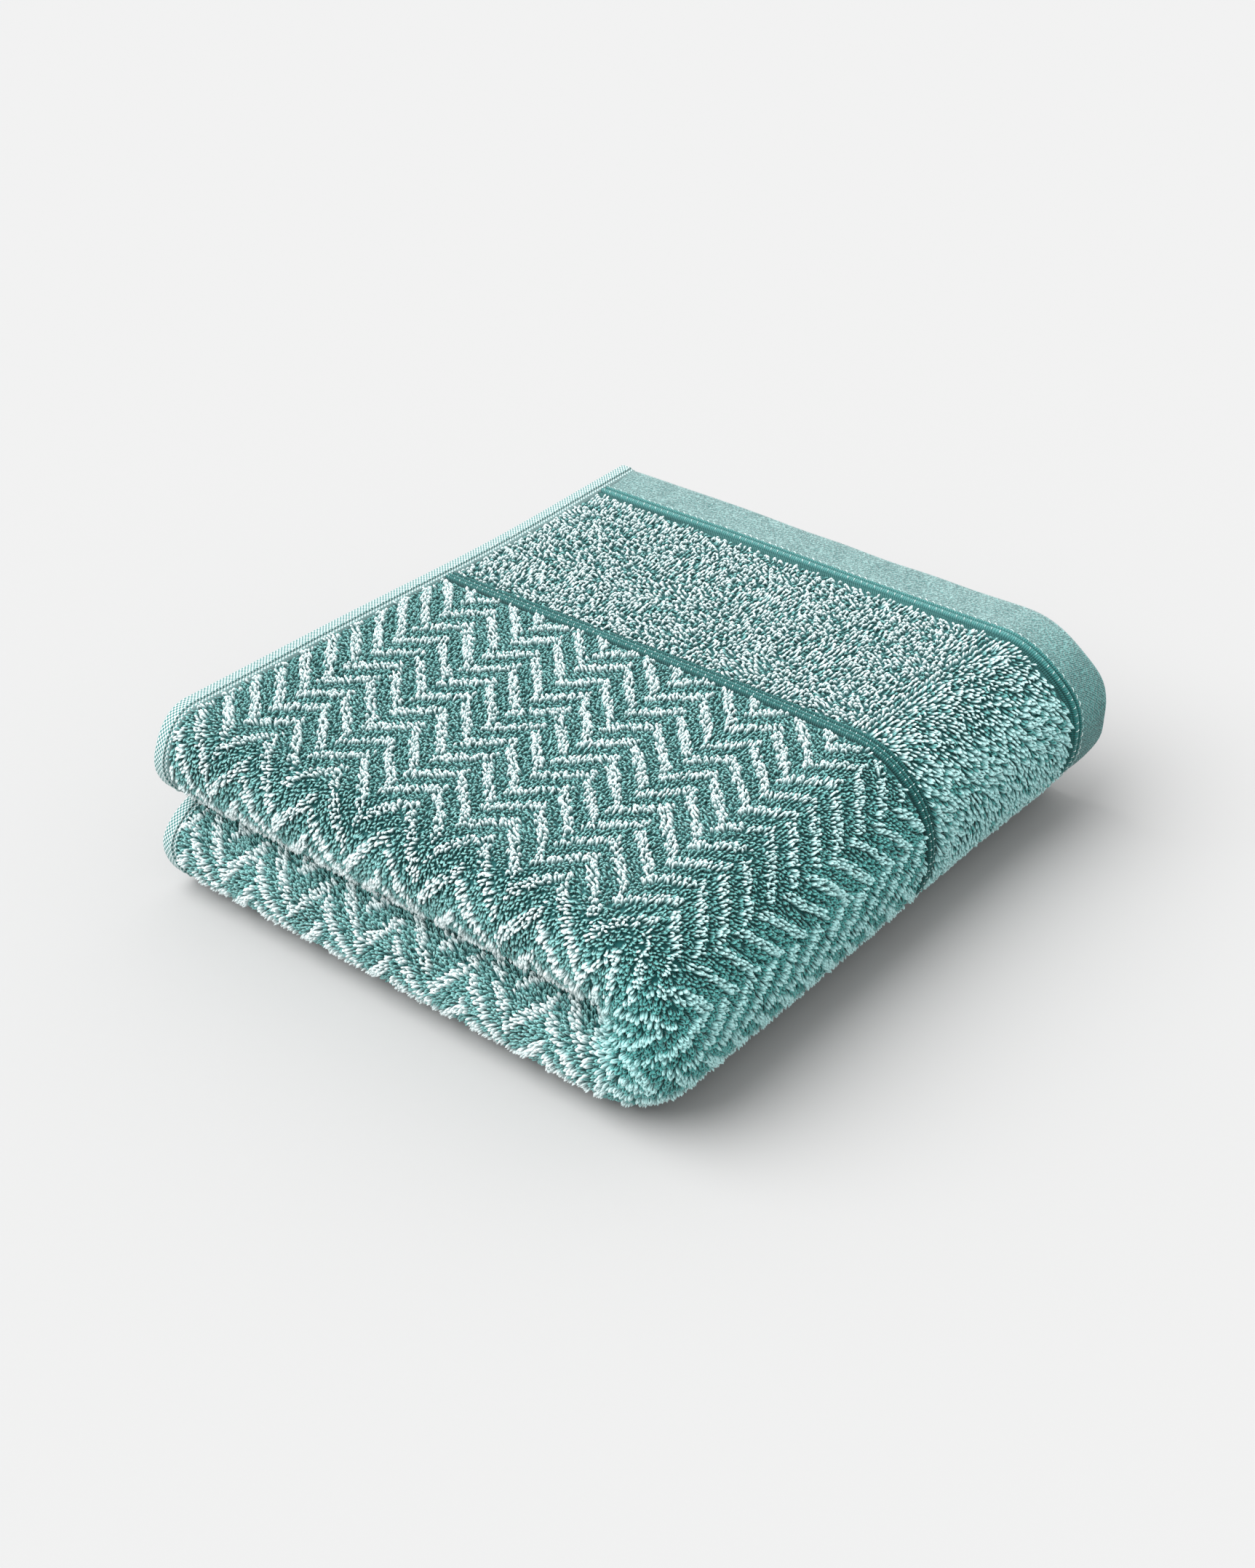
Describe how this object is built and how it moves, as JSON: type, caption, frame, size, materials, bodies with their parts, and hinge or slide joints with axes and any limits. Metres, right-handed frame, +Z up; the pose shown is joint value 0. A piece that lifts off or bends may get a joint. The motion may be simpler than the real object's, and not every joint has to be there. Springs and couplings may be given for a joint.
{
  "type": "folded terry towel",
  "caption": "Terry towel folded for a shelf, with a chevron field, a mottled band, flat woven lines and stitched hems; its last fold opens like a book.",
  "frame": {"origin": "middle of the base that the folded towel lies on", "axes": "+X from the free edges to the spine fold, +Y from the front folds to the towel's ends, +Z up"},
  "size_m": [0.236, 0.265, 0.0737],
  "materials": {
    "chevron_field": "terry loops in a chevron pattern of two colours",
    "mottled_band": "terry loops of two colours mixed one by one",
    "dobby_line": "flat woven ladder line",
    "end_hem": "flat twill hem, no loops",
    "end_hem_seam": "stitched rib with two grooves",
    "side_hem": "flat fine check weave",
    "side_hem_seam": "pale lock-stitched thread"
  },
  "bodies": {
    "lower_half": {"lower_chevron_field": "chevron_field", "lower_end_hem_outer_end": "end_hem", "lower_end_hem_seam_outer_end": "end_hem_seam", "lower_mottled_band_outer_end": "mottled_band", "lower_dobby_line_outer_end": "dobby_line", "lower_end_hem_inner_end": "end_hem", "lower_end_hem_seam_inner_end": "end_hem_seam", "lower_mottled_band_inner_end": "mottled_band", "lower_dobby_line_inner_end": "dobby_line", "lower_side_hem": "side_hem", "lower_side_hem_seam": "side_hem_seam", "spine_chevron_field": "chevron_field", "spine_end_hem_outer_end": "end_hem", "spine_end_hem_seam_outer_end": "end_hem_seam", "spine_mottled_band_outer_end": "mottled_band", "spine_dobby_line_outer_end": "dobby_line", "spine_end_hem_inner_end": "end_hem", "spine_end_hem_seam_inner_end": "end_hem_seam", "spine_mottled_band_inner_end": "mottled_band", "spine_dobby_line_inner_end": "dobby_line"},
    "upper_half": {"upper_chevron_field": "chevron_field", "upper_end_hem_outer_end": "end_hem", "upper_end_hem_seam_outer_end": "end_hem_seam", "upper_mottled_band_outer_end": "mottled_band", "upper_dobby_line_outer_end": "dobby_line", "upper_end_hem_inner_end": "end_hem", "upper_end_hem_seam_inner_end": "end_hem_seam", "upper_mottled_band_inner_end": "mottled_band", "upper_dobby_line_inner_end": "dobby_line", "upper_side_hem": "side_hem", "upper_side_hem_seam": "side_hem_seam"}
  },
  "joints": [
    {"name": "book_fold", "type": "hinge", "parent": "lower_half", "child": "upper_half", "pos_m": [0.08117, 0, 0.03682], "axis": [0, 1, 0], "range_deg": [0, 179], "deforming": ["spine_chevron_field", "spine_end_hem_outer_end", "spine_end_hem_seam_outer_end", "spine_mottled_band_outer_end", "spine_dobby_line_outer_end", "spine_end_hem_inner_end", "spine_end_hem_seam_inner_end", "spine_mottled_band_inner_end", "spine_dobby_line_inner_end"]}
  ]
}
